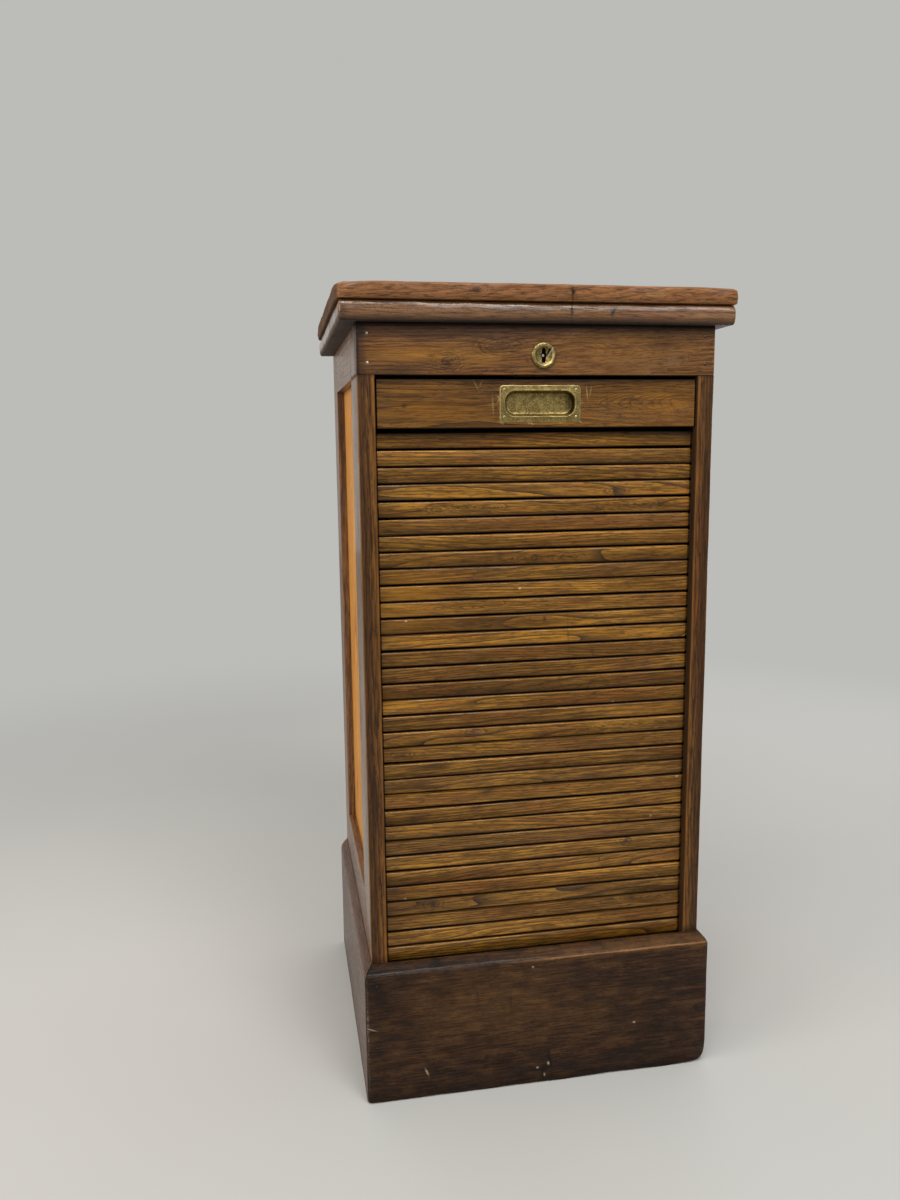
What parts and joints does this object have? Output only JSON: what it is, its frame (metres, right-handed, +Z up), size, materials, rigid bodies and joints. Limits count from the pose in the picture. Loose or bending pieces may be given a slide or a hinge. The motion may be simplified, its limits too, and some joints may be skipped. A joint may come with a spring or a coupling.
{
  "type": "filing cabinet",
  "caption": "Narrow wooden filing cabinet on a plinth, with a tambour shutter that draws down in front of its shelves, a brass flush pull and a hook lock.",
  "frame": {"origin": "on the floor, under the middle of the cabinet's outline", "axes": "+Z up; the front with the shutter faces -Y; +X to the right of someone who faces the shutter"},
  "size_m": [0.442, 0.4, 0.925],
  "materials": {
    "case_wood": "waxed, worn at the edges",
    "slat_wood": "waxed, streaky grain",
    "plinth_wood": "dark stained, waxed",
    "panel_wood": "honey varnish",
    "inner_wood": "bare, dusty",
    "brass": "aged, dull",
    "steel": "dull",
    "canvas": "plain weave"
  },
  "bodies": {
    "cabinet": {"back_bottom_rail": "inner_wood", "back_panel": "inner_wood", "back_top_rail": "inner_wood", "escutcheon": "brass", "floor_board": "inner_wood", "floor_cleats": "inner_wood", "hook_pin": "steel", "inner_back": "inner_wood", "key_pin": "steel", "left_back_stile": "case_wood", "left_front_stile": "case_wood", "left_plinth_side": "plinth_wood", "left_side_bottom_rail": "case_wood", "left_side_panel": "panel_wood", "left_side_top_rail": "case_wood", "lock_cap": "steel", "lock_case": "steel", "lock_rail": "case_wood", "lock_screws": "steel", "moulding_board": "case_wood", "nails": "steel", "plinth_front": "plinth_wood", "right_back_stile": "case_wood", "right_front_stile": "case_wood", "right_plinth_side": "plinth_wood", "right_side_bottom_rail": "case_wood", "right_side_panel": "panel_wood", "right_side_top_rail": "case_wood", "shelf_1": "inner_wood", "shelf_2": "inner_wood", "shelf_3": "inner_wood", "shelf_4": "inner_wood", "shelf_battens": "inner_wood", "top_board": "case_wood", "top_cleats": "inner_wood"},
    "shutter": {"lead_rail": "case_wood", "upper_slats": "slat_wood", "lower_slats": "slat_wood", "canvas_backing": "canvas", "flush_pull": "brass", "pull_screws": "brass", "strike_plate": "steel", "strike_screws": "steel"},
    "hook": {"lock_hook": "steel"}
  },
  "joints": [
    {"name": "shutter_slide", "type": "slide", "parent": "cabinet", "child": "shutter", "axis": [0, 0, -1], "range_m": [0, 0.604], "deforming": ["lower_slats", "canvas_backing"]},
    {"name": "hook_swing", "type": "hinge", "parent": "cabinet", "child": "hook", "pos_m": [-0.0214, -0.171, 0.838], "axis": [0, 1, 0], "range_deg": [0, 90]}
  ]
}
